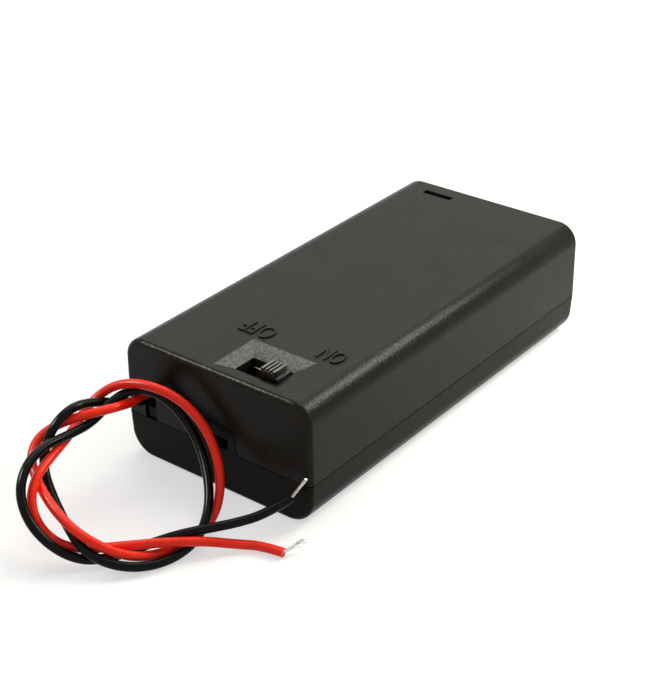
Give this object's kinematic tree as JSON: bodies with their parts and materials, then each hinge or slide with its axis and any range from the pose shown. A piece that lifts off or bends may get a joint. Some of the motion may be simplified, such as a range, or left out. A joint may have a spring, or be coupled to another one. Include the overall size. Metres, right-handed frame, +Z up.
{
  "type": "enclosed AA cell holder with switch",
  "caption": "Closed box that holds AA cells side by side, with a hinged snap cover, a slide switch in a sloped recess and a red and a black lead with bare ends.",
  "frame": {"origin": "centre of the box's underside, which is the outside of the battery cover; the leads are not counted", "axes": "+X across the box, +Y along it from the lead end to the hinged end, +Z up through the roof with the switch"},
  "size_m": [0.0358, 0.0964, 0.0192],
  "materials": {
    "case_plastic": "satin black moulded plastic with a fine spark texture",
    "knob_plastic": "smooth black moulded plastic",
    "base_board": "brown phenolic board",
    "plated_steel": "nickel plated sheet",
    "spring_steel": "nickel plated wire",
    "contact_metal": "plated brass",
    "red_insulation": "smooth red flexible insulation",
    "black_insulation": "smooth black flexible insulation",
    "tinned_copper": "tinned bright",
    "solder": "bright solder"
  },
  "bodies": {
    "cover": {"battery_cover": "case_plastic"},
    "holder": {"holder_body": "case_plastic", "switch_frame": "plated_steel", "switch_base": "base_board", "switch_pin_1": "contact_metal", "switch_pin_2": "contact_metal", "switch_pin_3": "contact_metal", "positive_contact": "plated_steel", "negative_contact": "plated_steel", "negative_spring": "spring_steel", "link_plate": "plated_steel", "link_spring": "spring_steel", "jumper_lead": "red_insulation", "red_lead": "red_insulation", "black_lead": "black_insulation", "red_lead_strands": "tinned_copper", "black_lead_strands": "tinned_copper", "solder_joints": "solder"},
    "slider": {"switch_knob": "knob_plastic", "switch_wiper": "contact_metal"}
  },
  "joints": [
    {"name": "cover_hinge", "type": "hinge", "parent": "cover", "child": "holder", "pos_m": [0, 0.0343, 0.0067], "axis": [-1, 0, 0], "range_deg": [0, 80]},
    {"name": "switch_slide", "type": "slide", "parent": "holder", "child": "slider", "axis": [1, 0, 0], "range_m": [-0.0034, 0]}
  ]
}
